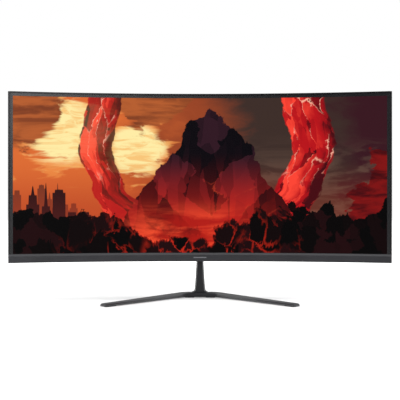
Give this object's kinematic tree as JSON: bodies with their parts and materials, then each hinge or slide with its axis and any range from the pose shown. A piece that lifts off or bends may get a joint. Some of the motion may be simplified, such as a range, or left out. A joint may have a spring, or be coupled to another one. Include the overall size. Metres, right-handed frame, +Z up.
{
  "type": "computer monitor",
  "caption": "Curved ultrawide computer monitor with thin rims and a slim chin, on a narrow neck that tilts and a low V-shaped stand with long forward legs.",
  "frame": {"origin": "on the desk, under the middle of the monitor's outline", "axes": "+X to the viewer's right along the screen, +Y away from the viewer, +Z up"},
  "size_m": [0.8112, 0.1984, 0.446],
  "materials": {
    "charcoal_plastic": "satin",
    "rim_plastic": "satin",
    "cover_plastic": "matte",
    "screen_glass": "satin",
    "film": "satin",
    "clear_acrylic": "gloss",
    "frame_plastic": "matte",
    "steel": "satin",
    "zinc_plated_steel": "satin",
    "circuit_board": "satin",
    "socket_metal": "satin",
    "black_plastic": "satin",
    "silver_ink": "satin",
    "base_paint": "satin",
    "rubber": "matte"
  },
  "bodies": {
    "stand": {"stand_base": "base_paint", "tip_pad_left": "rubber", "tip_pad_right": "rubber", "hub_pad_left": "rubber", "hub_pad_right": "rubber", "base_screw": "zinc_plated_steel", "neck_core": "steel", "neck_front_cover": "charcoal_plastic", "neck_rear_cover": "charcoal_plastic"},
    "head": {"front_bezel": "rim_plastic", "chin_trim": "charcoal_plastic", "chin_badge": "silver_ink", "lcd_panel": "screen_glass", "panel_frame": "frame_plastic", "prism_film": "film", "diffuser_film": "film", "light_guide": "clear_acrylic", "led_bar": "circuit_board", "reflector_sheet": "film", "backlight_pan": "steel", "rear_cover": "cover_plastic", "cover_screw_1": "zinc_plated_steel", "cover_screw_2": "zinc_plated_steel", "cover_screw_3": "zinc_plated_steel", "cover_screw_4": "zinc_plated_steel", "chassis_bracket": "steel", "main_board": "circuit_board", "power_board": "circuit_board", "board_shield": "steel", "hdmi_socket_1": "socket_metal", "hdmi_socket_2": "socket_metal", "displayport_socket": "socket_metal", "audio_jack": "black_plastic", "power_inlet": "black_plastic", "tcon_board": "circuit_board", "tcon_shield": "steel", "display_cable": "film", "backlight_cable": "black_plastic", "speaker_left": "black_plastic", "speaker_right": "black_plastic", "control_board": "circuit_board", "joystick_housing": "black_plastic", "power_switch": "black_plastic", "status_light_lens": "clear_acrylic", "hinge_bracket": "steel", "hinge_screw_1": "zinc_plated_steel", "hinge_screw_2": "zinc_plated_steel", "hinge_screw_3": "zinc_plated_steel", "hinge_screw_4": "zinc_plated_steel", "hinge_bolt": "zinc_plated_steel", "hinge_nut": "zinc_plated_steel", "spring_washer": "zinc_plated_steel", "friction_washer_left": "zinc_plated_steel", "friction_washer_right": "zinc_plated_steel"},
    "joystick_ring": {"joystick_gimbal": "zinc_plated_steel"},
    "joystick_stick": {"joystick_stem": "zinc_plated_steel"},
    "joystick_button": {"joystick_cap": "black_plastic"},
    "power_key": {"power_button": "black_plastic"}
  },
  "joints": [
    {"name": "screen_tilt", "type": "hinge", "parent": "stand", "child": "head", "pos_m": [0, 0.0806, 0.175], "axis": [-1, 0, 0], "range_deg": [-5, 20]},
    {"name": "joystick_up_down", "type": "hinge", "parent": "head", "child": "joystick_ring", "pos_m": [0.33308, 0.00551, 0.112], "axis": [0.9755, -0.22, 0], "range_deg": [-6, 6], "stiffness_Nm_per_rad": 0.06},
    {"name": "joystick_left_right", "type": "hinge", "parent": "joystick_ring", "child": "joystick_stick", "pos_m": [0.33308, 0.00551, 0.112], "axis": [0, 0, 1], "range_deg": [-6, 6], "stiffness_Nm_per_rad": 0.06},
    {"name": "joystick_press", "type": "slide", "parent": "joystick_stick", "child": "joystick_button", "axis": [-0.22, -0.9755, 0], "range_m": [0, 0.0005], "stiffness_N_per_m": 1500},
    {"name": "power_press", "type": "slide", "parent": "head", "child": "power_key", "axis": [-0.22, -0.9755, 0], "range_m": [0, 0.0006], "stiffness_N_per_m": 1000}
  ]
}
